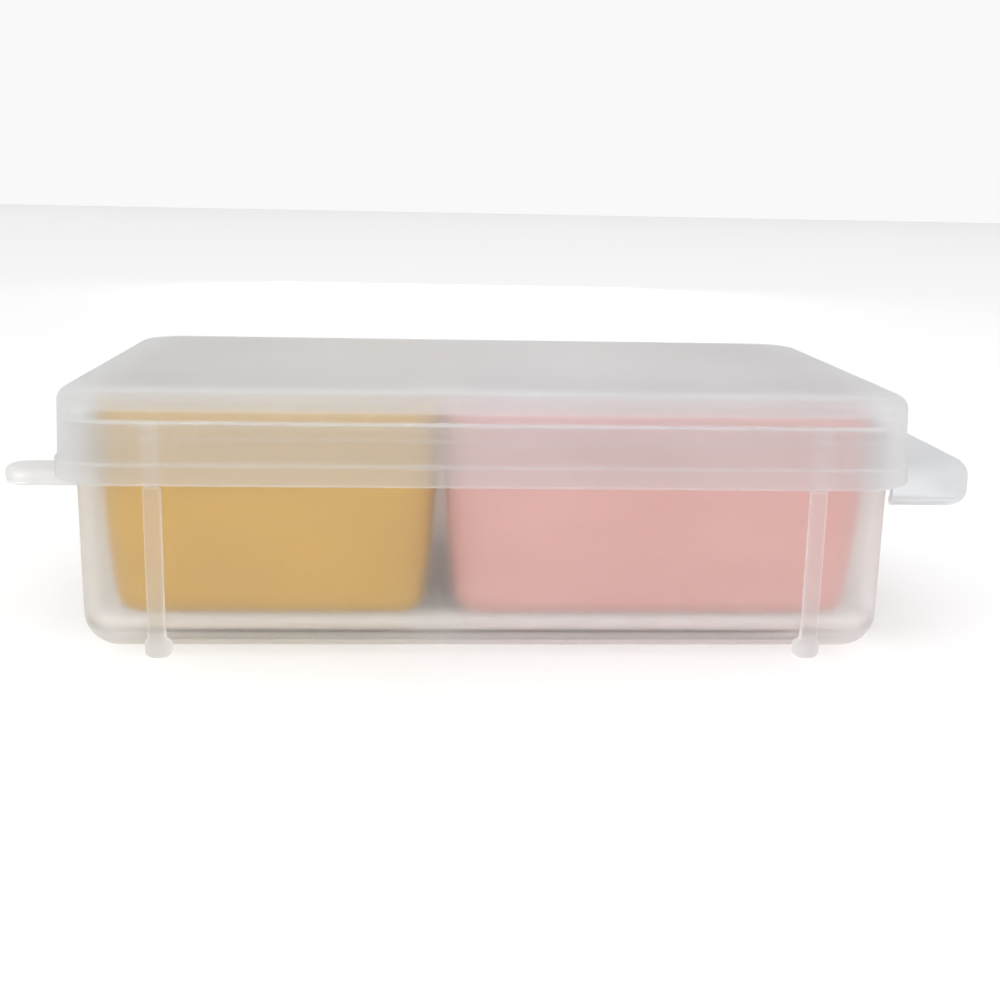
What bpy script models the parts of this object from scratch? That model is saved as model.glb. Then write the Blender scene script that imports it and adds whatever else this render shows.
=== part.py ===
"""A wet palette in a frosted snap-lid case.

The case stands on four moulded feet and holds two coloured tubs side by side. Each tub holds a sponge
pad, which is kept wet, and a sheet of palette paper that lies on it. X runs along the case, Y from
front to back and Z up. The origin is on the table, below the middle of the overall length.
"""

import math

import bmesh
import bpy

MM = 0.001
FIT_GAP = 0.3 * MM  # left between two pieces that rest on each other

# Case: a deep tray with leaning walls and a round between walls and floor.
CASE_LENGTH = 142.9 * MM  # over the walls, at the rim
CASE_DEPTH = 85.1 * MM  # over the walls, at the rim
CASE_HEIGHT = 40.7 * MM  # from foot ring to rim
CASE_CORNER = 7.2 * MM
CASE_LEAN = 0.4 * MM  # how far a wall comes in from rim to foot ring
CASE_WALL = 1.6 * MM
CASE_EDGE = 6.0 * MM  # round between wall and foot ring
CASE_FLOOR = 1.8 * MM
FLOOR_RECESS = 2.0 * MM  # the floor stands this much above the foot ring
FOOT_RING = 2.5 * MM  # flat width of the ring round the recess
LIP_PROUD = 1.0 * MM  # lip round the outside of the rim
LIP_HEIGHT = 2.0 * MM

# Ribs on the long walls, each ending in a foot.
RIB_INSET = 14.05 * MM  # from the end of the case to the middle of a rib
RIB_WIDTH = 3.0 * MM
RIB_PROUD = 1.0 * MM
RIB_TOP_GAP = 0.6 * MM  # between a rib and the skirt of the lid
FOOT_WIDTH = 4.6 * MM
FOOT_HEIGHT = 0.8 * MM  # below the foot ring
FOOT_TALL = 2.5 * MM  # from the table to the top of a foot, inside the round of the case
FOOT_ROUND = 0.9 * MM

# Finger tongue in the middle of the left end of the case.
TONGUE_REACH = 22.35 * MM  # beyond the end wall of the case
TONGUE_WIDTH = 10.4 * MM
TONGUE_THICKNESS = 3.4 * MM
TONGUE_BELOW_RIM = 15.7 * MM  # from the rim down to its upper face
TONGUE_ROUND = 1.2 * MM

# Lid: a cap whose skirt laps over the case and whose shoulder rests on the rim.
LID_CLEARANCE = 0.35 * MM  # between skirt and lip
SKIRT_WALL = 1.6 * MM
SKIRT_LAP = 10.2 * MM  # how far the skirt reaches below the rim
LID_LEAN = 0.45 * MM
LID_RISE = 5.5 * MM  # from the rim to the top of the lid
LID_TOP = 1.5 * MM
LID_EDGE = 2.5 * MM
SHOULDER = 0.9 * MM  # how much of the rim the lid covers
BEAD_HEIGHT = 3.5 * MM
BEAD_PROUD = 0.5 * MM
BEAD_ROUND = 0.5 * MM

# Hooded pull tab on the right end of the lid.
TAB_REACH = 14.5 * MM  # beyond the bead
TAB_WIDTH = 68.0 * MM
TAB_HEIGHT = 8.95 * MM
TAB_BELOW_TOP = 12.8 * MM  # from the top of the lid to the top of the tab
TAB_CORNER = 6.7 * MM
TAB_EDGE = 3.5 * MM
TAB_WALL = 1.6 * MM

# Tubs: the left one has a length of its own and the right one takes the rest of the case.
LEFT_TUB_LENGTH = 59.7 * MM
TUB_END_GAP = 1.45 * MM  # from the rim of a tub to the end wall of the case
TUB_SIDE_GAP = 1.0 * MM
TUB_GAP = 0.5 * MM  # between the two rims
TUB_CORNER = 8.2 * MM
TUB_ABOVE_RIM = 1.9 * MM
TUB_TAPER = 3.2 * MM  # how far a wall has come in at the bottom
TUB_CURVE = 2.2  # 1 is a straight wall, more keeps it upright for longer
TUB_WALL = 1.8 * MM
TUB_FLOOR = 2.0 * MM
TUB_EDGE = 5.5 * MM

# Sponge pads and palette sheets.
SPONGE_THICKNESS = 12.0 * MM
SPONGE_GAP = 0.8 * MM
SPONGE_EDGE = 3.0 * MM
SHEET_THICKNESS = 0.3 * MM
SHEET_MARGIN = 1.5 * MM  # the sheet is this much smaller than the sponge, all round

LEAST_CORNER = 0.6 * MM  # an outline keeps this much corner however far it is inset
SAME_POINT = 0.001 * MM  # where a straight side has no length, its two ends are one point
CORNER_STEPS = 8
ARC_STEPS = 4
WALL_STEPS = 7
OVERLAP = 0.8 * MM  # how deep a moulded detail starts inside the wall that carries it
WEB_SHARE = 0.7  # how far up the round of the case the thick lower part of a rib goes

# Heights above the table and places that several pieces share.
RING_Z = FOOT_HEIGHT
RIM_Z = RING_Z + CASE_HEIGHT
FLOOR_Z = RING_Z + FLOOR_RECESS + CASE_FLOOR
LID_TOP_Z = RIM_Z + LID_RISE
SKIRT_Z = RIM_Z - SKIRT_LAP
TUB_BOTTOM_Z = FLOOR_Z + FIT_GAP
TUB_RIM_Z = RIM_Z + TUB_ABOVE_RIM
SPONGE_Z = TUB_BOTTOM_Z + TUB_FLOOR + FIT_GAP
SHEET_Z = SPONGE_Z + SPONGE_THICKNESS + FIT_GAP

HALF_LENGTH = CASE_LENGTH / 2
HALF_DEPTH = CASE_DEPTH / 2
SKIRT_IN = LIP_PROUD + LID_CLEARANCE
BEAD_OUT = SKIRT_IN + SKIRT_WALL + BEAD_PROUD
LEFT_REACH = HALF_LENGTH + TONGUE_REACH
RIGHT_REACH = HALF_LENGTH + BEAD_OUT + TAB_REACH
CASE_X = (LEFT_REACH - RIGHT_REACH) / 2  # puts the overall length evenly about the origin

FROSTED = ((0.80, 0.79, 0.78), 0.45, 0.0)
OCHRE = ((0.66, 0.39, 0.09), 0.55, 0.0)
SALMON = ((0.74, 0.33, 0.28), 0.55, 0.0)
FOAM = ((0.86, 0.80, 0.55), 0.95, 0.0)
PAPER = ((0.90, 0.88, 0.82), 0.80, 0.0)


def clear_scene():
    for obj in list(bpy.data.objects):
        bpy.data.objects.remove(obj, do_unlink=True)


def outline(centre_x, centre_y, half_x, half_y, radius):
    """The corner points of a rounded rectangle, counter-clockwise from its right-hand side."""
    radius = min(max(radius, LEAST_CORNER), half_x, half_y)
    points = []
    for quarter, (side_x, side_y) in enumerate(((1, 1), (-1, 1), (-1, -1), (1, -1))):
        for step in range(CORNER_STEPS + 1):
            angle = math.pi / 2 * (quarter + step / CORNER_STEPS)
            points.append((
                centre_x + side_x * (half_x - radius) + radius * math.cos(angle),
                centre_y + side_y * (half_y - radius) + radius * math.sin(angle),
            ))
    return points


def arc(centre, radius, start, end, steps=ARC_STEPS):
    """Points (inset, z) of an arc of a profile. Angles are in degrees, 0 points inwards and 90 up."""
    turns = [math.radians(start + (end - start) * step / steps) for step in range(steps + 1)]
    return [(centre[0] + radius * math.cos(a), centre[1] + radius * math.sin(a)) for a in turns]


def loft(name, centre, half_x, half_y, radius, profile):
    """A closed body from a profile of (inset, z) points carried round a rounded rectangle.

    Every point makes one ring, inset from the rectangle, and the first and last rings are capped.
    """
    mesh = bpy.data.meshes.new(name)
    bm = bmesh.new()
    rings = []
    for inset, z in profile:
        points = outline(centre[0], centre[1], half_x - inset, half_y - inset, radius - inset)
        rings.append([bm.verts.new((x, y, z)) for x, y in points])
    for lower, upper in zip(rings, rings[1:]):
        for i in range(len(lower)):
            j = (i + 1) % len(lower)
            bm.faces.new((lower[i], lower[j], upper[j], upper[i]))
    bm.faces.new(rings[0])
    bm.faces.new(rings[-1])
    bmesh.ops.remove_doubles(bm, verts=bm.verts, dist=SAME_POINT)
    bmesh.ops.recalc_face_normals(bm, faces=bm.faces)
    bm.to_mesh(mesh)
    bm.free()
    obj = bpy.data.objects.new(name, mesh)
    bpy.context.scene.collection.objects.link(obj)
    return obj


def box(name, low, high):
    """A plain block between two opposite corners."""
    mesh = bpy.data.meshes.new(name)
    bm = bmesh.new()
    bmesh.ops.create_cube(bm, size=1.0)
    for v in bm.verts:
        v.co = [(a + b) / 2 + (b - a) * c for a, b, c in zip(low, high, v.co)]
    bm.to_mesh(mesh)
    bm.free()
    obj = bpy.data.objects.new(name, mesh)
    bpy.context.scene.collection.objects.link(obj)
    return obj


def combine(obj, other, operation):
    """Joins another body to this one, or cuts it out, and removes the other body."""
    modifier = obj.modifiers.new(operation.title(), "BOOLEAN")
    modifier.operation = operation
    modifier.solver = "EXACT"
    modifier.object = other
    evaluated = obj.evaluated_get(bpy.context.evaluated_depsgraph_get())
    mesh = bpy.data.meshes.new_from_object(evaluated)
    obj.modifiers.clear()
    obj.data = mesh
    bpy.data.objects.remove(other, do_unlink=True)


def finish(obj, look):
    """Gives a piece its material and smooth shading with sharp edges kept."""
    colour, roughness, metallic = look
    material = bpy.data.materials.new(obj.name)
    material.use_nodes = True
    shader = material.node_tree.nodes["Principled BSDF"]
    shader.inputs["Base Color"].default_value = (*colour, 1.0)
    shader.inputs["Roughness"].default_value = roughness
    shader.inputs["Metallic"].default_value = metallic
    obj.data.materials.clear()
    obj.data.materials.append(material)
    obj.data.shade_smooth()
    obj.data.set_sharp_from_angle(angle=math.radians(35))
    return obj


def case_inset(z):
    """How far the outside of a case wall has come in from the rim at this height."""
    return CASE_LEAN * (RIM_Z - z) / CASE_HEIGHT


def wall_y(z):
    """Where the outside of a long wall would be at this height if it had no round below."""
    return HALF_DEPTH - case_inset(max(z, RING_Z))


def case_shell():
    """The tray itself: foot ring, leaning walls, rounded rim and a floor that stands above the ring."""
    ring_in = CASE_LEAN + CASE_EDGE + FOOT_RING
    recess_z = RING_Z + FLOOR_RECESS
    inner_edge = CASE_EDGE - CASE_WALL
    inner_in = case_inset(FLOOR_Z + inner_edge) + CASE_WALL
    profile = [(ring_in + FLOOR_RECESS, recess_z), (ring_in, RING_Z)]
    edge_in = case_inset(RING_Z + CASE_EDGE)
    profile += arc((edge_in + CASE_EDGE, RING_Z + CASE_EDGE), CASE_EDGE, 270, 180)
    half_wall = CASE_WALL / 2
    lip_z = RIM_Z - LIP_HEIGHT
    profile += [(case_inset(lip_z - LIP_PROUD), lip_z - LIP_PROUD), (-LIP_PROUD, lip_z)]
    profile += arc((half_wall - LIP_PROUD, RIM_Z - half_wall), half_wall, 180, 90)
    profile += arc((half_wall, RIM_Z - half_wall), half_wall, 90, 0)
    profile += arc((inner_in + inner_edge, FLOOR_Z + inner_edge), inner_edge, 180, 270)
    return loft("case", (CASE_X, 0), HALF_LENGTH, HALF_DEPTH, CASE_CORNER, profile)


def prism(name, section, low_x, high_x):
    """A section of (y, z) points carried along X."""
    mesh = bpy.data.meshes.new(name)
    bm = bmesh.new()
    face = bm.faces.new([bm.verts.new((low_x, y, z)) for y, z in section])
    end = bmesh.ops.extrude_face_region(bm, geom=[face])["geom"]
    moved = [part for part in end if isinstance(part, bmesh.types.BMVert)]
    bmesh.ops.translate(bm, vec=(high_x - low_x, 0, 0), verts=moved)
    bmesh.ops.recalc_face_normals(bm, faces=bm.faces)
    bm.to_mesh(mesh)
    bm.free()
    obj = bpy.data.objects.new(name, mesh)
    bpy.context.scene.collection.objects.link(obj)
    return obj


def rib(side_x, side_y):
    """One rib, from just under the skirt of the lid down to its foot, leaning with the wall.

    Its back lies just inside the wall, and deeper below the web, where the wall rounds away from it.
    """
    middle = CASE_X + side_x * (HALF_LENGTH - RIB_INSET)
    top = SKIRT_Z - RIB_TOP_GAP
    bottom = FOOT_ROUND
    web = RING_Z + WEB_SHARE * CASE_EDGE
    section = (
        (wall_y(bottom) + RIB_PROUD, bottom),
        (wall_y(top) + RIB_PROUD, top),
        (wall_y(top) - OVERLAP, top),
        (wall_y(web) - OVERLAP, web),
        (wall_y(web) - CASE_EDGE / 2, web),
        (wall_y(bottom) - CASE_EDGE / 2, bottom),
    )
    section = [(side_y * y, z) for y, z in section]
    return prism("rib", section, middle - RIB_WIDTH / 2, middle + RIB_WIDTH / 2)


def foot(side_x, side_y):
    """The round foot at the lower end of a rib, with a flat under it."""
    radius = FOOT_WIDTH / 2
    middle = foot_place(side_x, side_y)
    return rounded_slab("foot", middle, radius, radius, radius, 0.0, FOOT_TALL, FOOT_ROUND)


def foot_place(side_x, side_y):
    """The middle of a foot, whose outer side lines up with the face of its rib."""
    face = wall_y(RING_Z) + RIB_PROUD
    return CASE_X + side_x * (HALF_LENGTH - RIB_INSET), side_y * (face - FOOT_WIDTH / 2)


def rounded_slab(name, centre, half_x, half_y, radius, bottom, top, edge):
    """A solid slab with rounded corners and rounded upper and lower edges."""
    profile = [(2 * edge, bottom)] + arc((edge, bottom + edge), edge, 270, 180)
    profile += arc((edge, top - edge), edge, 180, 90) + [(2 * edge, top)]
    return loft(name, centre, half_x, half_y, radius, profile)


def case_tray():
    """The case with its ribs, feet and finger tongue, as one moulding."""
    case = case_shell()
    for side_x in (-1, 1):
        for side_y in (-1, 1):
            combine(case, rib(side_x, side_y), "UNION")
            combine(case, foot(side_x, side_y), "UNION")
    top = RIM_Z - TONGUE_BELOW_RIM
    tip = CASE_X - LEFT_REACH
    root = CASE_X - HALF_LENGTH + case_inset(top) + OVERLAP
    half_y = TONGUE_WIDTH / 2
    tongue_end = root + half_y
    tongue = rounded_slab("tongue", ((tip + tongue_end) / 2, 0), (tongue_end - tip) / 2, half_y,
                          half_y, top - TONGUE_THICKNESS, top, TONGUE_ROUND)
    trim = box("trim", (root, -TONGUE_WIDTH, 0), (tongue_end + TONGUE_WIDTH, TONGUE_WIDTH, RIM_Z))
    combine(tongue, trim, "DIFFERENCE")
    combine(case, tongue, "UNION")
    case.name = "case_tray"
    return finish(case, FROSTED)


def lid_shell():
    """The cap: flat top, rounded edge, skirt with a bead, and the shoulder that sits on the rim."""
    skirt = -(SKIRT_IN + SKIRT_WALL)
    bead = -BEAD_OUT
    bead_top = SKIRT_Z + BEAD_HEIGHT
    inner_edge = LID_EDGE - LID_TOP
    shoulder_z = RIM_Z + FIT_GAP
    top_in = skirt + LID_LEAN
    ceiling = LID_TOP_Z - LID_TOP
    inner_top = max(SHOULDER, top_in + LID_TOP)
    profile = [(top_in + 2 * LID_EDGE, LID_TOP_Z)]
    profile += arc((top_in + LID_EDGE, LID_TOP_Z - LID_EDGE), LID_EDGE, 90, 180)
    profile += [(skirt, bead_top + BEAD_ROUND)]
    profile += arc((bead + BEAD_ROUND, bead_top - BEAD_ROUND), BEAD_ROUND, 90, 180, 2)
    profile += arc((bead + BEAD_ROUND, SKIRT_Z + BEAD_ROUND), BEAD_ROUND, 180, 270, 2)
    profile += [(-SKIRT_IN, SKIRT_Z), (-SKIRT_IN, shoulder_z), (SHOULDER, shoulder_z)]
    profile += arc((inner_top + inner_edge, ceiling - inner_edge), inner_edge, 180, 90)
    return loft("lid", (CASE_X, 0), HALF_LENGTH, HALF_DEPTH, CASE_CORNER, profile)


def lid_tab():
    """The hooded tab: a shell open below, its lower edge curling in, cut off inside the skirt wall."""
    top = LID_TOP_Z - TAB_BELOW_TOP
    bottom = top - TAB_HEIGHT
    tip = CASE_X + RIGHT_REACH
    start = CASE_X + HALF_LENGTH - TAB_CORNER - TAB_WALL
    inner_round = TAB_EDGE - TAB_WALL
    profile = [(2 * TAB_EDGE, top)] + arc((TAB_EDGE, top - TAB_EDGE), TAB_EDGE, 90, 180)
    profile += arc((TAB_EDGE, bottom + TAB_EDGE), TAB_EDGE, 180, 235)
    profile += arc((TAB_EDGE, bottom + TAB_EDGE), inner_round, 235, 180)
    profile += arc((TAB_EDGE, top - TAB_EDGE), inner_round, 180, 90)
    profile += [(2 * TAB_EDGE, top - TAB_WALL)]
    tab = loft("tab", ((start + tip) / 2, 0), (tip - start) / 2, TAB_WIDTH / 2, TAB_CORNER, profile)
    out = SKIRT_IN + OVERLAP
    plug = loft("plug", (CASE_X, 0), HALF_LENGTH + out, HALF_DEPTH + out, CASE_CORNER + out,
                [(0, bottom - OVERLAP), (0, top + OVERLAP)])
    combine(tab, plug, "DIFFERENCE")
    return tab


def snap_lid():
    lid = lid_shell()
    combine(lid, lid_tab(), "UNION")
    lid.name = "snap_lid"
    return finish(lid, FROSTED)


def tub_inset(z):
    """How far the outside of a tub wall has come in from its rim at this height."""
    return TUB_TAPER * ((TUB_RIM_Z - z) / (TUB_RIM_Z - TUB_BOTTOM_Z)) ** TUB_CURVE


def tub_places():
    """Name, middle and half length of each tub, from the left."""
    left_end = CASE_X - HALF_LENGTH + CASE_WALL + TUB_END_GAP
    right_end = CASE_X + HALF_LENGTH - CASE_WALL - TUB_END_GAP
    split = left_end + LEFT_TUB_LENGTH
    second = split + TUB_GAP
    return (
        ("left", (left_end + split) / 2, LEFT_TUB_LENGTH / 2),
        ("right", (second + right_end) / 2, (right_end - second) / 2),
    )


def tub_half_depth():
    return HALF_DEPTH - CASE_WALL - TUB_SIDE_GAP


def tub(side, middle, half_length, look):
    """A round-cornered tub whose walls curve in towards the bottom."""
    inner_edge = TUB_EDGE - TUB_WALL
    floor = TUB_BOTTOM_Z + TUB_FLOOR
    edge_z = TUB_BOTTOM_Z + TUB_EDGE
    half_wall = TUB_WALL / 2
    heights = [edge_z + (TUB_RIM_Z - half_wall - edge_z) * i / WALL_STEPS for i in range(WALL_STEPS)]
    lower_in = tub_inset(edge_z) + TUB_EDGE
    profile = [(lower_in + TUB_EDGE / 2, TUB_BOTTOM_Z)]
    profile += arc((lower_in, edge_z), TUB_EDGE, 270, 180)
    profile += [(tub_inset(z), z) for z in heights[1:]]
    profile += arc((half_wall, TUB_RIM_Z - half_wall), half_wall, 180, 0)
    profile += [(tub_inset(z) + TUB_WALL, z) for z in reversed(heights[1:])]
    profile += arc((lower_in, floor + inner_edge), inner_edge, 180, 270)
    profile += [(lower_in + TUB_EDGE / 2, floor)]
    body = loft(f"{side}_tub", (middle, 0), half_length, tub_half_depth(), TUB_CORNER, profile)
    return finish(body, look)


def sponge_inset():
    """From the rim of a tub to the side of its sponge, which clears the round above the floor."""
    return tub_inset(SPONGE_Z + SPONGE_EDGE) + TUB_WALL + SPONGE_GAP


def pad(name, middle, half_length, inset, bottom, thickness, edge, look):
    """A flat pad inside a tub, with its outline the given inset from the tub's rim."""
    half_depth = tub_half_depth()
    corner = max(TUB_CORNER - inset, 2 * edge + OVERLAP)
    body = rounded_slab(name, (middle, 0), half_length - inset, half_depth - inset, corner,
                        bottom, bottom + thickness, edge)
    return finish(body, look)


def sheet(name, middle, half_length, inset, bottom, thickness, look):
    """A flat sheet with round corners."""
    half_depth = tub_half_depth() - inset
    body = loft(name, (middle, 0), half_length - inset, half_depth, TUB_CORNER - inset,
                [(0, bottom), (0, bottom + thickness)])
    return finish(body, look)


clear_scene()
case_tray()
snap_lid()
for (side, middle, half_length), look in zip(tub_places(), (OCHRE, SALMON)):
    tub(side, middle, half_length, look)
    pad(f"{side}_sponge", middle, half_length, sponge_inset(), SPONGE_Z, SPONGE_THICKNESS,
        SPONGE_EDGE, FOAM)
    sheet(f"{side}_palette_sheet", middle, half_length, sponge_inset() + SHEET_MARGIN, SHEET_Z,
          SHEET_THICKNESS, PAPER)
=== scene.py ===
"""The looks of a wet palette: a frosted snap-lid case with two coloured tubs, sponge pads and palette paper.

Lengths are in millimetres until a mesh is made. X runs along the case, Y from front to back and Z up.
"""

import math

import bpy
import numpy as np
from mathutils import Matrix, Vector


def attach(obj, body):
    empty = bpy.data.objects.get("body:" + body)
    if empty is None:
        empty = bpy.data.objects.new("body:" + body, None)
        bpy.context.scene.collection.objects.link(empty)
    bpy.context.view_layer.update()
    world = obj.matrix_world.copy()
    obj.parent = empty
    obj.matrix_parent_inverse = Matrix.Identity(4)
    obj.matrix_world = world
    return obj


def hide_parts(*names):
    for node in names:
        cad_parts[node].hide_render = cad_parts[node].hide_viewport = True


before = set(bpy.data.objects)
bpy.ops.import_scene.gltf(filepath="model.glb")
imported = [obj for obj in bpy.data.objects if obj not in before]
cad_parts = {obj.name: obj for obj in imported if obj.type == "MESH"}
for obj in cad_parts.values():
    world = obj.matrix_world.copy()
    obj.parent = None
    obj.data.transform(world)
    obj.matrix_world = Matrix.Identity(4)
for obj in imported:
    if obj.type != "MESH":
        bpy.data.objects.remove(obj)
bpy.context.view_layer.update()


# ---- Case ------------------------------------------------------------------------------------------
# A deep tray, injection moulded in natural polypropylene about 1.6 mm thick, which comes out milky and
# lets the tubs show through. Ribs, feet and the finger tongue are part of the same moulding.

MM = 0.001
CASE_MIDDLE = 2.2  # the tongue and the tab reach out unequally, so the case is off the origin in X
CASE_HALF = (71.45, 42.55)
CASE_CORNER = 7.2
CASE_WALL = 1.6
CASE_LEAN = 0.4  # how far a wall comes in from rim to base
CASE_EDGE = 6.0  # round between wall and base
FOOT_RING = 0.8  # heights above the table, from here to RIM
RECESS = 2.8
FLOOR = 4.6
SKIRT = 31.3  # the lower edge of the lid's skirt
RIM = 41.5
LIP_PROUD = 1.0
LIP_HEIGHT = 2.0
RIM_ROUND = 0.78


def path(corners, step=0.6):
    """A line through (inset, z, round) corners, each corner replaced by an arc of that radius.

    An arc touches both legs at round * tan(turn / 2) from the corner. Straight legs are cut into even
    pieces of about the given step.
    """
    points = [np.array([corners[0][:2]], float)]
    for before, here, after in zip(corners, corners[1:], corners[2:]):
        start, corner, end = (np.array(c[:2], float) for c in (before, here, after))
        arrive = (corner - start) / np.linalg.norm(corner - start)
        leave = (end - corner) / np.linalg.norm(end - corner)
        cross = arrive[0] * leave[1] - arrive[1] * leave[0]
        turn = math.atan2(cross, arrive @ leave)
        touch = corner - arrive * here[2] * math.tan(abs(turn) / 2)
        across = np.array([-arrive[1], arrive[0]]) * math.copysign(here[2], turn)
        angle = np.linspace(0, turn, max(2, math.ceil(abs(turn) / 0.13)))[:, None]
        arm = -across * np.cos(angle) + arrive * abs(here[2]) * np.sin(np.abs(angle))
        points.append(touch + across + arm)
    points.append(np.array([corners[-1][:2]], float))
    found = [points[0]]
    for piece in points[1:]:
        gap = piece[0] - found[-1][-1]
        cuts = max(1, math.ceil(np.linalg.norm(gap) / step))
        found.append(found[-1][-1] + gap * (np.arange(1, cuts) / cuts)[:, None])
        found.append(piece)
    return np.concatenate(found)


def turn_round(arc=14, run=40):
    """One anticlockwise turn round a rounded rectangle: unit rectangle (x, y) and unit circle (x, y).

    A rounded rectangle is a plain one plus a circle. On a side the circle's direction holds still and
    the rectangle moves, and at a corner it is the other way round. A corner has arc points, a side run.
    """
    quarter = np.linspace(0, math.pi / 2, arc)
    along = np.linspace(1, -1, run)[1:-1]
    still = np.ones_like(quarter)
    side = np.ones_like(along)
    square_x = [still, along, -still, -side, -still, -along, still, side]
    square_y = [still, side, still, along, -still, -side, -still, -along]
    angles = [quarter, side * math.pi / 2, quarter + math.pi / 2, side * math.pi,
              quarter + math.pi, side * 1.5 * math.pi, quarter + 1.5 * math.pi, side * 2 * math.pi]
    angle = np.concatenate(angles)
    return np.stack([np.concatenate(square_x), np.concatenate(square_y), np.cos(angle), np.sin(angle)])


def loft(profile, middle, half, corner, least=0.5, **turn):
    """A grid of points: each (inset, z) of the profile carried round a rounded rectangle.

    Point = middle + square * (half - inset - r) + circle * r, where r = corner - inset, but never less
    than the least corner. middle and half may change from row to row.
    """
    inset, z = profile.T[:, :, None]
    radius = np.maximum(corner - inset, least)
    square_x, square_y, circle_x, circle_y = turn_round(**turn)
    x = middle[0] + square_x * (half[0] - inset - radius) + circle_x * radius
    y = middle[1] + square_y * (half[1] - inset - radius) + circle_y * radius
    return np.stack([x, y, np.broadcast_to(z, x.shape)], axis=-1)


def solid(name, *grids):
    """A mesh object of closed bodies, one for each grid, whose first and last rows are capped.

    A row runs anticlockwise seen from above. The first row is met from below and the last from above.
    """
    points, corners, lengths, first = [], [], [], 0
    for grid in grids:
        rows, columns = grid.shape[:2]
        index = first + np.arange(rows * columns).reshape(rows, columns)
        after = np.roll(index, -1, axis=1)
        quads = np.stack([index[:-1], after[:-1], after[1:], index[1:]], axis=-1).reshape(-1)
        corners += [quads, index[0, ::-1], index[-1]]
        lengths += [np.full(len(quads) // 4, 4), [columns], [columns]]
        points.append(grid.reshape(-1, 3))
        first += rows * columns
    points, corners, lengths = (np.concatenate(x) for x in (points, corners, lengths))
    mesh = bpy.data.meshes.new(name)
    mesh.vertices.add(len(points))
    mesh.vertices.foreach_set("co", (points * MM).astype(np.float32).reshape(-1))
    mesh.loops.add(len(corners))
    mesh.loops.foreach_set("vertex_index", corners.astype(np.int32))
    mesh.polygons.add(len(lengths))
    starts = np.concatenate([[0], np.cumsum(lengths)[:-1]])
    mesh.polygons.foreach_set("loop_start", starts.astype(np.int32))
    mesh.update(calc_edges=True)
    piece = bpy.data.objects.new(name, mesh)
    bpy.context.scene.collection.objects.link(piece)
    return piece


def combine(piece, other, operation):
    """Joins another closed body to this one, or cuts it away, and drops the other."""
    modifier = piece.modifiers.new(operation.title(), "BOOLEAN")
    modifier.operation, modifier.solver, modifier.object = operation, "MANIFOLD", other
    found = piece.evaluated_get(bpy.context.evaluated_depsgraph_get())
    mesh = bpy.data.meshes.new_from_object(found)
    piece.modifiers.clear()
    piece.data = mesh
    bpy.data.objects.remove(other, do_unlink=True)


def place(piece, body, node, finish):
    """Smooth shading with the crisp edges kept, the finish, and the CAD node the piece stands for."""
    piece.data.shade_smooth()
    piece.data.set_sharp_from_angle(angle=math.radians(32))
    piece.data.materials.clear()
    piece.data.materials.append(finish.material)
    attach(piece, body)
    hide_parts(node)


class Wire:
    """An output socket that can be reckoned with: each operator adds the Math node it stands for."""

    def __init__(self, finish, socket):
        self.finish, self.socket = finish, socket

    def reckon(self, operation, first, second):
        """A Math node with these two values or links."""
        return self.finish.make("Math", {0: first, 1: second}, operation=operation)

    def __add__(self, other):
        return self.reckon("ADD", self, other)

    def __sub__(self, other):
        return self.reckon("SUBTRACT", self, other)

    def __rsub__(self, other):
        return self.reckon("SUBTRACT", other, self)

    def __mul__(self, other):
        return self.reckon("MULTIPLY", self, other)

    def __pow__(self, other):
        return self.reckon("POWER", self, other)

    def __abs__(self):
        return self.reckon("ABSOLUTE", self, 0)

    __radd__, __rmul__ = __add__, __mul__


class Finish:
    """A material in the making, with the record's slot it belongs to and its Principled shader."""

    def __init__(self, name, slot, **constants):
        self.material, self.slot = bpy.data.materials.new(name), slot
        self.material.use_nodes = True
        self.tree = self.material.node_tree
        self.shader = self.tree.nodes["Principled BSDF"]
        for socket, value in constants.items():
            self.shader.inputs[socket.replace("_", " ")].default_value = value
        self.place = self.make("TexCoord", out="Object")

    def make(self, kind, sockets=(), out=0, **settings):
        """Adds a node: first its settings, then a value or a link for each of its sockets."""
        node = self.tree.nodes.new("ShaderNode" + kind)
        for setting, value in settings.items():
            setattr(node, setting, value)
        self.feed(node, sockets)
        return Wire(self, node.outputs[out])

    def feed(self, node, sockets):
        """Gives each named or numbered socket of a node its value or its link."""
        for socket, value in dict(sockets).items():
            if isinstance(value, Wire):
                self.tree.links.new(value.socket, node.inputs[socket])
            else:
                node.inputs[socket].default_value = value

    def noise(self, size, detail=2.0, stretch=(1, 1, 1), rough=0.5):
        """Cloudy noise from 0 to 1 whose patches are about the given size in millimetres."""
        scaled = self.make("Mapping", {"Vector": self.place, "Scale": stretch})
        return self.make("TexNoise", {"Vector": scaled, "Scale": 1 / (size * MM), "Detail": detail,
                                      "Roughness": rough})

    def blend(self, share, first, second):
        """The first colour where share is 0 and the second where it is 1."""
        return self.make("Mix", {0: share, 6: first, 7: second}, out=2, data_type="RGBA")

    def ramp(self, value, low, high, start=0.0, end=1.0):
        """Value taken from the range low to high over to start to end, and held beyond."""
        return self.make("MapRange", {"Value": value, "From Min": low, "From Max": high,
                                      "To Min": start, "To Max": end})

    def bump(self, height, depth, strength=1.0):
        """Sends a height from 0 to 1, the given depth in millimetres, to the shader's normal."""
        normal = self.make("Bump", {"Height": height, "Distance": depth * MM, "Strength": strength})
        self.feed(self.shader, {"Normal": normal})


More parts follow.
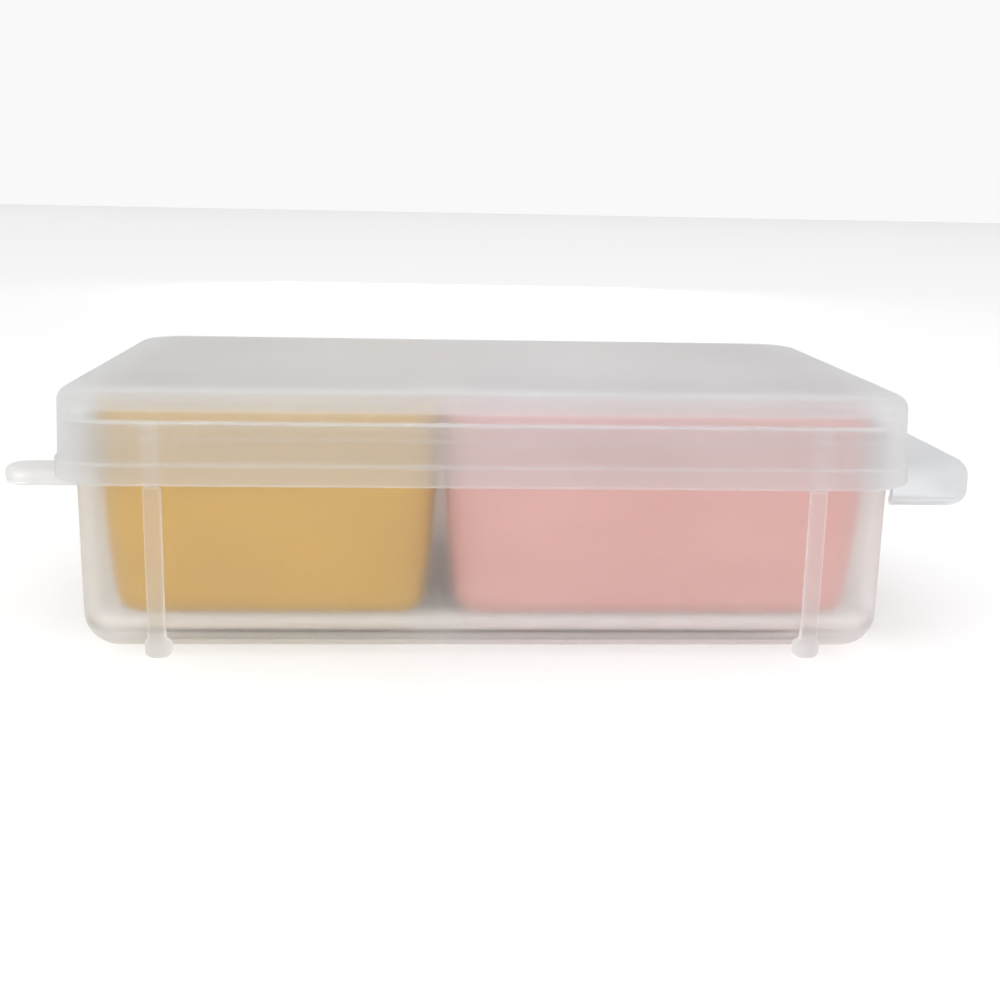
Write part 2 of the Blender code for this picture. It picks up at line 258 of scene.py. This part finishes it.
def frosted(name, tint, least_milk, rough, through_share, milk_slabs):
    """Natural polypropylene: clear enough to pass light, rough enough to blur it, milky where it is thick.

    The milk is a share of pale, partly translucent shaders. It grows by 0.62 * facing ** 1.3, because a
    slanting look goes through more plastic, and by a set amount in each listed slab (axis, middle, half
    width, more): mostly where the plastic is thick, while a thin band can stand as a painted highlight.
    Mould grain, flow lines and rubs change the roughness.
    """
    finish = Finish(name, "frosted_plastic", Transmission_Weight=1.0, IOR=1.49)
    cloud = finish.noise(26, 3)
    grain = finish.noise(0.5, 2)
    flow = finish.noise(9, 4, stretch=(0.25, 2.2, 1.0))
    rubs = finish.ramp(finish.noise(2.2, 5, stretch=(0.35, 1.6, 1.2), rough=0.7), 0.56, 0.72)
    clouded = finish.ramp(cloud * 0.7 + flow * 0.3, 0.3, 0.7)
    tone = finish.blend(clouded, (*[c * 0.97 for c in tint], 1), (*tint, 1))
    finish.feed(finish.shader, {
        "Base Color": tone,
        "Roughness": finish.ramp(grain, 0.3, 0.7, rough, rough + 0.04) + flow * 0.03 + rubs * 0.05,
    })
    pale = finish.blend(clouded, (0.63, 0.64, 0.65, 1), (0.68, 0.69, 0.70, 1))
    axes = {axis: finish.make("SeparateXYZ", {"Vector": finish.place}, out=axis) * (1 / MM) for axis in "XYZ"}
    outside = finish.make("BsdfPrincipled", {"Base Color": pale, "Roughness": 0.5, "IOR": 1.49})
    through = finish.make("BsdfTranslucent", {"Color": (*tint, 1)})
    milk = finish.make("MixShader", {0: through_share, 1: outside, 2: through})
    aslant = finish.make("LayerWeight", {"Blend": 0.5}, out="Facing")
    share = aslant ** 1.3 * 0.62 + clouded * 0.02 + least_milk
    for axis, middle, half, more in milk_slabs:
        share = share + finish.ramp(abs(axes[axis] - middle), half - 0.15, half + 0.15, more, 0.0)
    clear = Wire(finish, finish.shader.outputs[0])
    mixed = finish.make("MixShader", {0: share, 1: clear, 2: milk})
    finish.feed(finish.tree.nodes["Material Output"], {"Surface": mixed})
    return finish


# The profile starts on the flat underside and ends on the flat floor, where solid() caps it.
case_profile = path([
    (14, RECESS, 0), (10.9, RECESS, 0.6), (8.9, FOOT_RING, 0.5), (CASE_LEAN, FOOT_RING, CASE_EDGE),
    (0.03, RIM - LIP_HEIGHT - 1.0, 0.3), (-LIP_PROUD, RIM - LIP_HEIGHT, 0.35), (-LIP_PROUD, RIM, RIM_ROUND),
    (CASE_WALL, RIM, RIM_ROUND), (CASE_WALL + CASE_LEAN, FLOOR, CASE_EDGE - CASE_WALL), (16, FLOOR, 0),
])
case_tray = solid("case_tray_shell", loft(case_profile, (CASE_MIDDLE, 0), CASE_HALF, CASE_CORNER))

# A rib is 3 mm wide and stands 1 mm proud of a long wall. It ends in a round foot that carries the case.
# Its sections are rounded rectangles from its back, inside the wall, to its face, which leans as the wall
# does. Where an end of the rib is rounded, the face falls back by as much as the half width shrinks.
FOOT_HALF = 2.3
FOOT_TOP = 2.7
RIB_FOOT = 3.6  # where the foot has narrowed to the rib
RIB_TOP = SKIRT - 0.6
RIB_HALF = 1.5
RIB_PROUD = 1.0
RIB_FROM_MIDDLE = 57.4
wide, rib_z = path([(0.8, 0, 0), (FOOT_HALF, 0, 0.9), (FOOT_HALF, FOOT_TOP, 0.6), (RIB_HALF, RIB_FOOT, 0.6),
                    (RIB_HALF, RIB_TOP, 0.5), (0.7, RIB_TOP, 0)], 1.2).T
fall = np.where(rib_z < 2, FOOT_HALF - wide, np.where(rib_z > 30, RIB_HALF - wide, 0))
face = CASE_HALF[1] + RIB_PROUD - CASE_LEAN * (RIM - np.maximum(rib_z, FOOT_RING)) / (RIM - FOOT_RING)
back = face - np.interp(rib_z, [FOOT_TOP, 5.0, 6.5], [2 * FOOT_HALF, 3.2, 1.8]) + fall
face = face - fall
round_off = np.minimum(0.95 * wide, np.interp(rib_z, [FOOT_TOP, RIB_FOOT], [FOOT_HALF, 0.5]))
rib = loft(np.stack([0 * rib_z, rib_z], axis=1), (0, ((face + back) / 2)[:, None]),
           (wide[:, None], ((face - back) / 2)[:, None]), round_off[:, None], 0.2, arc=7, run=5)
ribs = [grid + (CASE_MIDDLE + side * RIB_FROM_MIDDLE, 0, 0)
        for side in (-1, 1) for grid in (rib, rib[:, ::-1] * (1, -1, 1))]

# The tongue is a flat bar with a half-round end. Its sections across X are rounded rectangles, and their
# half width over the end is the circle's, sqrt(r * r - (r - s) ** 2) at a distance s from the tip.
TONGUE_HALF = 5.2
TONGUE_REACH = 22.35
TONGUE_TOP = RIM - 15.7
TONGUE_THICK = 3.4
TONGUE_ROUND = 1.2
turned = np.linspace(0.06, math.pi / 2, 22)
reach = np.concatenate([TONGUE_HALF * (1 - np.cos(turned)), np.linspace(6.2, TONGUE_REACH + 1.0, 14)])
half_width = np.sqrt(TONGUE_HALF ** 2 - np.maximum(TONGUE_HALF - reach, 0) ** 2)
thin = TONGUE_ROUND - np.sqrt(TONGUE_ROUND ** 2 - np.maximum(TONGUE_ROUND - reach, 0) ** 2)
half_thick = TONGUE_THICK / 2 - thin
tongue_round = np.minimum(TONGUE_ROUND, 0.95 * np.minimum(half_width, half_thick))
tongue = loft(np.stack([0 * reach, reach], axis=1), (0, TONGUE_TOP - TONGUE_THICK / 2),
              (half_width[:, None], half_thick[:, None]), tongue_round[:, None], 0.05, arc=8, run=8)
tongue = tongue[:, :, [2, 0, 1]] + (CASE_MIDDLE - CASE_HALF[0] - TONGUE_REACH, 0, 0)

combine(case_tray, solid("ribs_and_tongue", *ribs, tongue), "UNION")
case_tray.visible_shadow = False  # lamps shine through it on the tubs
place(case_tray, "case", "case_tray", frosted(
    "frosted_case", (0.98, 0.975, 0.965), 0.08, 0.285, 0.75,
    [("X", CASE_MIDDLE - RIB_FROM_MIDDLE, RIB_HALF, 0.34),
     ("X", CASE_MIDDLE + RIB_FROM_MIDDLE, RIB_HALF, 0.38),
     ("X", -98, 28.7, 0.35),  # the tongue
     ("Z", 0, FLOOR, 0.3), ("Z", 0, 2.9, 0.4)],  # the floor and the foot ring
))


# ---- Lid -------------------------------------------------------------------------------------------
# A deep-skirted cap of the same polypropylene. It snaps over the lip of the rim, its shoulder rests on
# the rim, and a bead stiffens the lower edge of its skirt.

LID_TOP = 47.0
CEILING = 45.5
SHOULDER = 0.9  # how much of the rim the lid covers
SHOULDER_FOOT = RIM + 0.3
SKIRT_IN = 1.35  # how far the skirt's inner face stands off the case's wall
SKIRT_OUT = (2.93, 2.5)  # and its outer face, at the bead and at the top
BEAD_OUT = 3.45
BEAD_HEIGHT = 3.5
LID_EDGE = 2.5
lid_profile = path([
    (14, CEILING, 0), (SHOULDER, CEILING, 1.0), (SHOULDER, SHOULDER_FOOT, 0.25),
    (-SKIRT_IN, SHOULDER_FOOT, 0.3), (-SKIRT_IN, SKIRT, 0.35), (-BEAD_OUT, SKIRT, 0.6),
    (-BEAD_OUT, SKIRT + BEAD_HEIGHT, 0.45), (-SKIRT_OUT[0], SKIRT + BEAD_HEIGHT + 0.3, 0.4),
    (-SKIRT_OUT[1], LID_TOP, LID_EDGE), (14, LID_TOP, 0),
])
snap_lid = solid("snap_lid_shell", loft(lid_profile, (CASE_MIDDLE, 0), CASE_HALF, CASE_CORNER))

# The hooded tab is a shell open below, whose lower edge curls in for a fingertip to pull on. It is cut off
# inside the wall of the skirt, which it is moulded with.
TAB_TIP = 91.6
TAB_HALF = 34.0
TAB_TOP = 34.2
TAB_FOOT = 25.25
TAB_CORNER = 6.7
TAB_EDGE = 3.5
TAB_WALL = 1.6
tab_start = CASE_MIDDLE + CASE_HALF[0] - 8.0
tab_profile = path([
    (7, TAB_TOP - TAB_WALL, 0), (TAB_WALL, TAB_TOP - TAB_WALL, 1.9), (TAB_WALL, TAB_FOOT + 2.51, 0.9),
    (2.41, TAB_FOOT + 1.94, 0.5), (1.49, TAB_FOOT + 0.63, 0.5), (0, TAB_FOOT + 1.68, 2.4),
    (0, TAB_TOP, TAB_EDGE), (7, TAB_TOP, 0),
])
tab_middle = ((tab_start + TAB_TIP) / 2, 0)
tab = solid("tab", loft(tab_profile, tab_middle, ((TAB_TIP - tab_start) / 2, TAB_HALF), TAB_CORNER))
plug_out = 2.1  # between the skirt's inner face and its outer one
plug = path([(3, 20, 0), (-plug_out, 20, 0), (-plug_out, 40, 0), (3, 40, 0)], 30)
combine(tab, solid("plug", loft(plug, (CASE_MIDDLE, 0), CASE_HALF, CASE_CORNER)), "DIFFERENCE")
combine(snap_lid, tab, "UNION")
snap_lid.visible_shadow = False
place(snap_lid, "lid", "snap_lid", frosted(
    "frosted_lid", (0.96, 0.975, 0.985), 0.16, 0.32, 0.5,
    [("X", 102, 25.5, 0.12),  # the tab
     # The thin milky band along the bead's upper edge is a painted highlight.
     ("Z", LID_TOP + 1, 4.2, 0.26), ("Z", SKIRT + 3.6, 0.5, 0.12)],  # the top and the bead's upper edge
))


# ---- Tubs ------------------------------------------------------------------------------------------
# Two opaque tubs, moulded in coloured polypropylene with a satin face, stand side by side in the case.
# Their walls curve in towards the bottom, and they are 1.8 mm thick with a rounded rim.

TUB_RIM = 43.4
TUB_BOTTOM = 4.9
TUB_WALL = 1.8
TUB_FLOOR = 2.0
TUB_EDGE = 5.5
TUB_CORNER = 8.2
TUB_TAPER = 3.2  # how far a wall has come in at the bottom
TUB_CURVE = 2.2  # 1 is a straight wall, more keeps it upright for longer
TUB_HALF_DEPTH = 39.95
TUBS = {"left": (-36.35, 29.85), "right": (32.3, 38.3)}  # middle in X and half length


def bend(centre, radius, start, end, steps=14):
    """Points of an arc about a centre. 0 degrees points inwards and 90 up."""
    angle = np.radians(np.linspace(start, end, steps))
    return np.stack([centre[0] + radius * np.cos(angle), centre[1] + radius * np.sin(angle)], axis=1)


def tub_inset(z):
    """A tub's wall comes in by its taper * (depth below the rim / whole depth) ** its curve."""
    return TUB_TAPER * ((TUB_RIM - z) / (TUB_RIM - TUB_BOTTOM)) ** TUB_CURVE


def satin(name, slot, pale, deep):
    """Coloured polypropylene with a soft sheen, a fine grain, slight swirls of pigment and rubbed spots."""
    finish = Finish(name, slot, IOR=1.49, Specular_IOR_Level=0.42)
    swirl = finish.noise(14, 4, stretch=(0.6, 1.0, 1.8))
    grain = finish.noise(0.4, 3)
    rubs = finish.ramp(finish.noise(3, 5, stretch=(0.4, 1.5, 1.0), rough=0.7), 0.58, 0.72)
    finish.feed(finish.shader, {
        "Base Color": finish.blend(finish.ramp(swirl, 0.35, 0.65), deep, pale),
        "Roughness": finish.ramp(grain, 0.3, 0.7, 0.40, 0.50) + rubs * 0.10,
    })
    finish.bump(grain * 0.6 + swirl * 0.4, 0.03, 0.5)
    return finish


floor_edge = TUB_BOTTOM + TUB_EDGE
tub_in = tub_inset(floor_edge) + TUB_EDGE
up = np.linspace(floor_edge, TUB_RIM - TUB_WALL / 2, 40)[1:-1]
tub_profile = np.concatenate([
    [(tub_in + 3, TUB_BOTTOM)],
    bend((tub_in, floor_edge), TUB_EDGE, 270, 180),
    np.stack([tub_inset(up), up], axis=1),
    bend((TUB_WALL / 2, TUB_RIM - TUB_WALL / 2), TUB_WALL / 2, 180, 0),
    np.stack([tub_inset(up) + TUB_WALL, up], axis=1)[::-1],
    bend((tub_in, floor_edge), TUB_EDGE - TUB_FLOOR, 180, 270),
    [(tub_in + 3, TUB_BOTTOM + TUB_FLOOR)],
])
tub_finishes = {
    "left": satin("ochre", "ochre_plastic", (0.55, 0.305, 0.005, 1), (0.515, 0.28, 0.004, 1)),
    "right": satin("salmon", "salmon_plastic", (0.64, 0.325, 0.30, 1), (0.605, 0.295, 0.27, 1)),
}
for side, (middle, half) in TUBS.items():
    tub = solid(f"{side}_tub_shell", loft(tub_profile, (middle, 0), (half, TUB_HALF_DEPTH), TUB_CORNER))
    place(tub, f"{side}_tub", f"{side}_tub", tub_finishes[side])


# ---- Sponge pads -----------------------------------------------------------------------------------
# A pad of fine-celled cellulose foam, cut to the tub and 12 mm thick, lies loose on the tub's floor and
# holds the water. Its faces are slightly uneven, and its edges are soft from wear.

SPONGE_FOOT = 7.2
SPONGE_THICK = 12.0
SPONGE_IN = 4.9  # from the tub's rim to the side of the pad
SPONGE_CORNER = 7.0
sponge_top = SPONGE_FOOT + SPONGE_THICK


def uneven(grid, size, height, seed):
    """Smooth bumps: the sum of five sine waves across X, Y and Z in random directions, about height high."""
    dice = np.random.default_rng(seed)
    waves = dice.normal(size=(5, 3)) * 2 * math.pi / size
    return height * np.sin(grid @ waves.T + dice.uniform(0, 6.3, 5)).mean(axis=-1)


foam = Finish("cellulose_foam", "sponge", Specular_IOR_Level=0.2, Sheen_Weight=0.15)
cells = foam.make("TexVoronoi", {"Vector": foam.place, "Scale": 1 / (1.1 * MM)}, out="Distance")
fine_cells = foam.make("TexVoronoi", {"Vector": foam.place, "Scale": 1 / (0.45 * MM)}, out="Distance")
pore_pits_and_shade = foam.ramp(cells, 0.18, 0.5) * 0.65 + foam.ramp(fine_cells, 0.15, 0.5) * 0.35
damp = foam.ramp(foam.noise(18, 3), 0.35, 0.65)
skin = foam.blend(damp, (0.80, 0.70, 0.38, 1), (0.86, 0.79, 0.50, 1))
foam.feed(foam.shader, {
    # The pores are pits in the bump, and their dark colour is painted shade inside them.
    "Base Color": foam.blend(pore_pits_and_shade, (0.50, 0.40, 0.16, 1), skin),
    "Roughness": 0.95 - damp * 0.2,
})
foam.bump(pore_pits_and_shade, 0.5, 0.8)

for side, (middle, half) in TUBS.items():
    pad_half = (half - SPONGE_IN, TUB_HALF_DEPTH - SPONGE_IN)
    inmost = min(pad_half) - 1.0
    pad_profile = path([
        (inmost, SPONGE_FOOT, 0), (0.3, SPONGE_FOOT, 1.6), (0.0, SPONGE_FOOT + SPONGE_THICK / 2, 9),
        (0.3, sponge_top, 1.8), (inmost, sponge_top, 0),
    ], 0.9)
    pad_grid = loft(pad_profile, (middle, 0), pad_half, SPONGE_CORNER, arc=12, run=50)
    pad_grid[..., :2] += (uneven(pad_grid, 9, 0.12, 3) * np.sign(pad_grid[..., 0] - middle))[..., None]
    pad_grid[..., 2] -= np.abs(uneven(pad_grid, 7, 0.25, 5)) * (pad_grid[..., 2] > SPONGE_FOOT + 6)
    pad = solid(f"{side}_sponge_pad", pad_grid)
    place(pad, f"{side}_sponge", f"{side}_sponge", foam)


# ---- Palette sheets --------------------------------------------------------------------------------
# A sheet of membrane paper, cut with round corners and laid on the wet pad. It draws up water through
# its fibres, so it lies flat with a slight cockle.

SHEET_FOOT = 19.5
SHEET_THICK = 0.3
SHEET_IN = SPONGE_IN + 1.5
SHEET_CORNER = 3.0
sheet_top = SHEET_FOOT + SHEET_THICK

paper = Finish("palette_paper", "palette_paper", Specular_IOR_Level=0.3)
fibres = paper.noise(0.6, 5, stretch=(0.35, 1.4, 1), rough=0.65)
cross_fibres = paper.noise(0.6, 5, stretch=(1.4, 0.35, 1), rough=0.65)
soaked = paper.ramp(paper.noise(22, 3), 0.4, 0.65)
felted = fibres * 0.5 + cross_fibres * 0.5
shade = paper.ramp(felted + soaked * 0.15, 0.4, 0.68)
paper.feed(paper.shader, {
    "Base Color": paper.blend(shade, (0.90, 0.885, 0.84, 1), (0.80, 0.775, 0.70, 1)),
    "Roughness": 0.85 - soaked * 0.25,
})
paper.bump(felted, 0.06, 0.6)

for side, (middle, half) in TUBS.items():
    sheet_half = (half - SHEET_IN, TUB_HALF_DEPTH - SHEET_IN)
    inmost = min(sheet_half) - 0.5
    sheet_profile = path([(inmost, SHEET_FOOT, 0), (0, SHEET_FOOT, 0.1), (0, sheet_top, 0.1),
                          (inmost, sheet_top, 0)], 0.8)
    sheet_grid = loft(sheet_profile, (middle, 0), sheet_half, SHEET_CORNER, arc=10, run=60)
    sheet_grid[..., 2] += uneven(sheet_grid * (1, 1, 0), 16, 0.3, 11) + 0.02
    sheet = solid(f"{side}_paper", sheet_grid)
    place(sheet, f"{side}_sheet", f"{side}_palette_sheet", paper)
    2 * sheet_half[0] * MM
    2 * sheet_half[1] * MM


# ---- Floor, light and camera -----------------------------------------------------------------------
# A plain pale table in an even white room. A broad soft light hangs overhead and in front, a second one
# stands low in front, and weaker ones stand low behind and at each side.

TABLE_HALF = 4000
slab = path([(0, -2, 0), (0, 0, 0)], 5)
table = solid("table", loft(slab, (0, 0), (TABLE_HALF, TABLE_HALF), 400, arc=8, run=3))
table_finish = Finish("pale_table", None, Specular_IOR_Level=0.1)
table_finish.feed(table_finish.shader, {
    "Base Color": table_finish.blend(table_finish.noise(40, 3), (0.95, 0.95, 0.95, 1), (0.97, 0.97, 0.97, 1)),
    "Roughness": 0.9,
})
table.data.materials.append(table_finish.material)

room = bpy.data.worlds.new("room")
room.use_nodes = True
room.node_tree.nodes["Background"].inputs["Color"].default_value = (1, 1, 1, 1)
room.node_tree.nodes["Background"].inputs["Strength"].default_value = 0.95
bpy.context.scene.world = room


def soft_light(name, spot, size, power):
    """A square area light at a spot in metres, facing the middle of the case."""
    light = bpy.data.lights.new(name, "AREA")
    light.size, light.energy = size, power
    holder = bpy.data.objects.new(name, light)
    holder.location = spot
    holder.rotation_euler = (Vector((0, 0, 0.02)) - holder.location).to_track_quat("-Z", "Y").to_euler()
    bpy.context.scene.collection.objects.link(holder)


soft_light("front_overhead", (-0.05, -0.55, 0.75), 0.5, 1.4)
soft_light("front_low", (0.0, -0.9, 0.22), 0.5, 1.0)
soft_light("back_low", (0.02, 0.9, 0.08), 0.3, 0.35)
soft_light("left_side", (-0.60, -0.35, 0.30), 0.35, 0.45)
soft_light("right_side", (0.60, -0.35, 0.30), 0.35, 0.55)

camera = bpy.data.objects.new("camera", bpy.data.cameras.new("camera"))
camera.data.lens, camera.data.sensor_width, camera.data.clip_start = 50.4, 36, 0.01
yaw, pitch, roll = (math.radians(a) for a in (3.56, 12.64, 1.17))
camera.matrix_world = (
    Matrix.Translation((-0.01065, -0.27724, 0.08142))
    @ Matrix.Rotation(-yaw, 4, "Z")
    @ Matrix.Rotation(math.pi / 2 - pitch, 4, "X")
    @ Matrix.Rotation(roll, 4, "Z")
)
bpy.context.scene.collection.objects.link(camera)
bpy.context.scene.camera = camera
bpy.context.scene.view_settings.view_transform = "Standard"
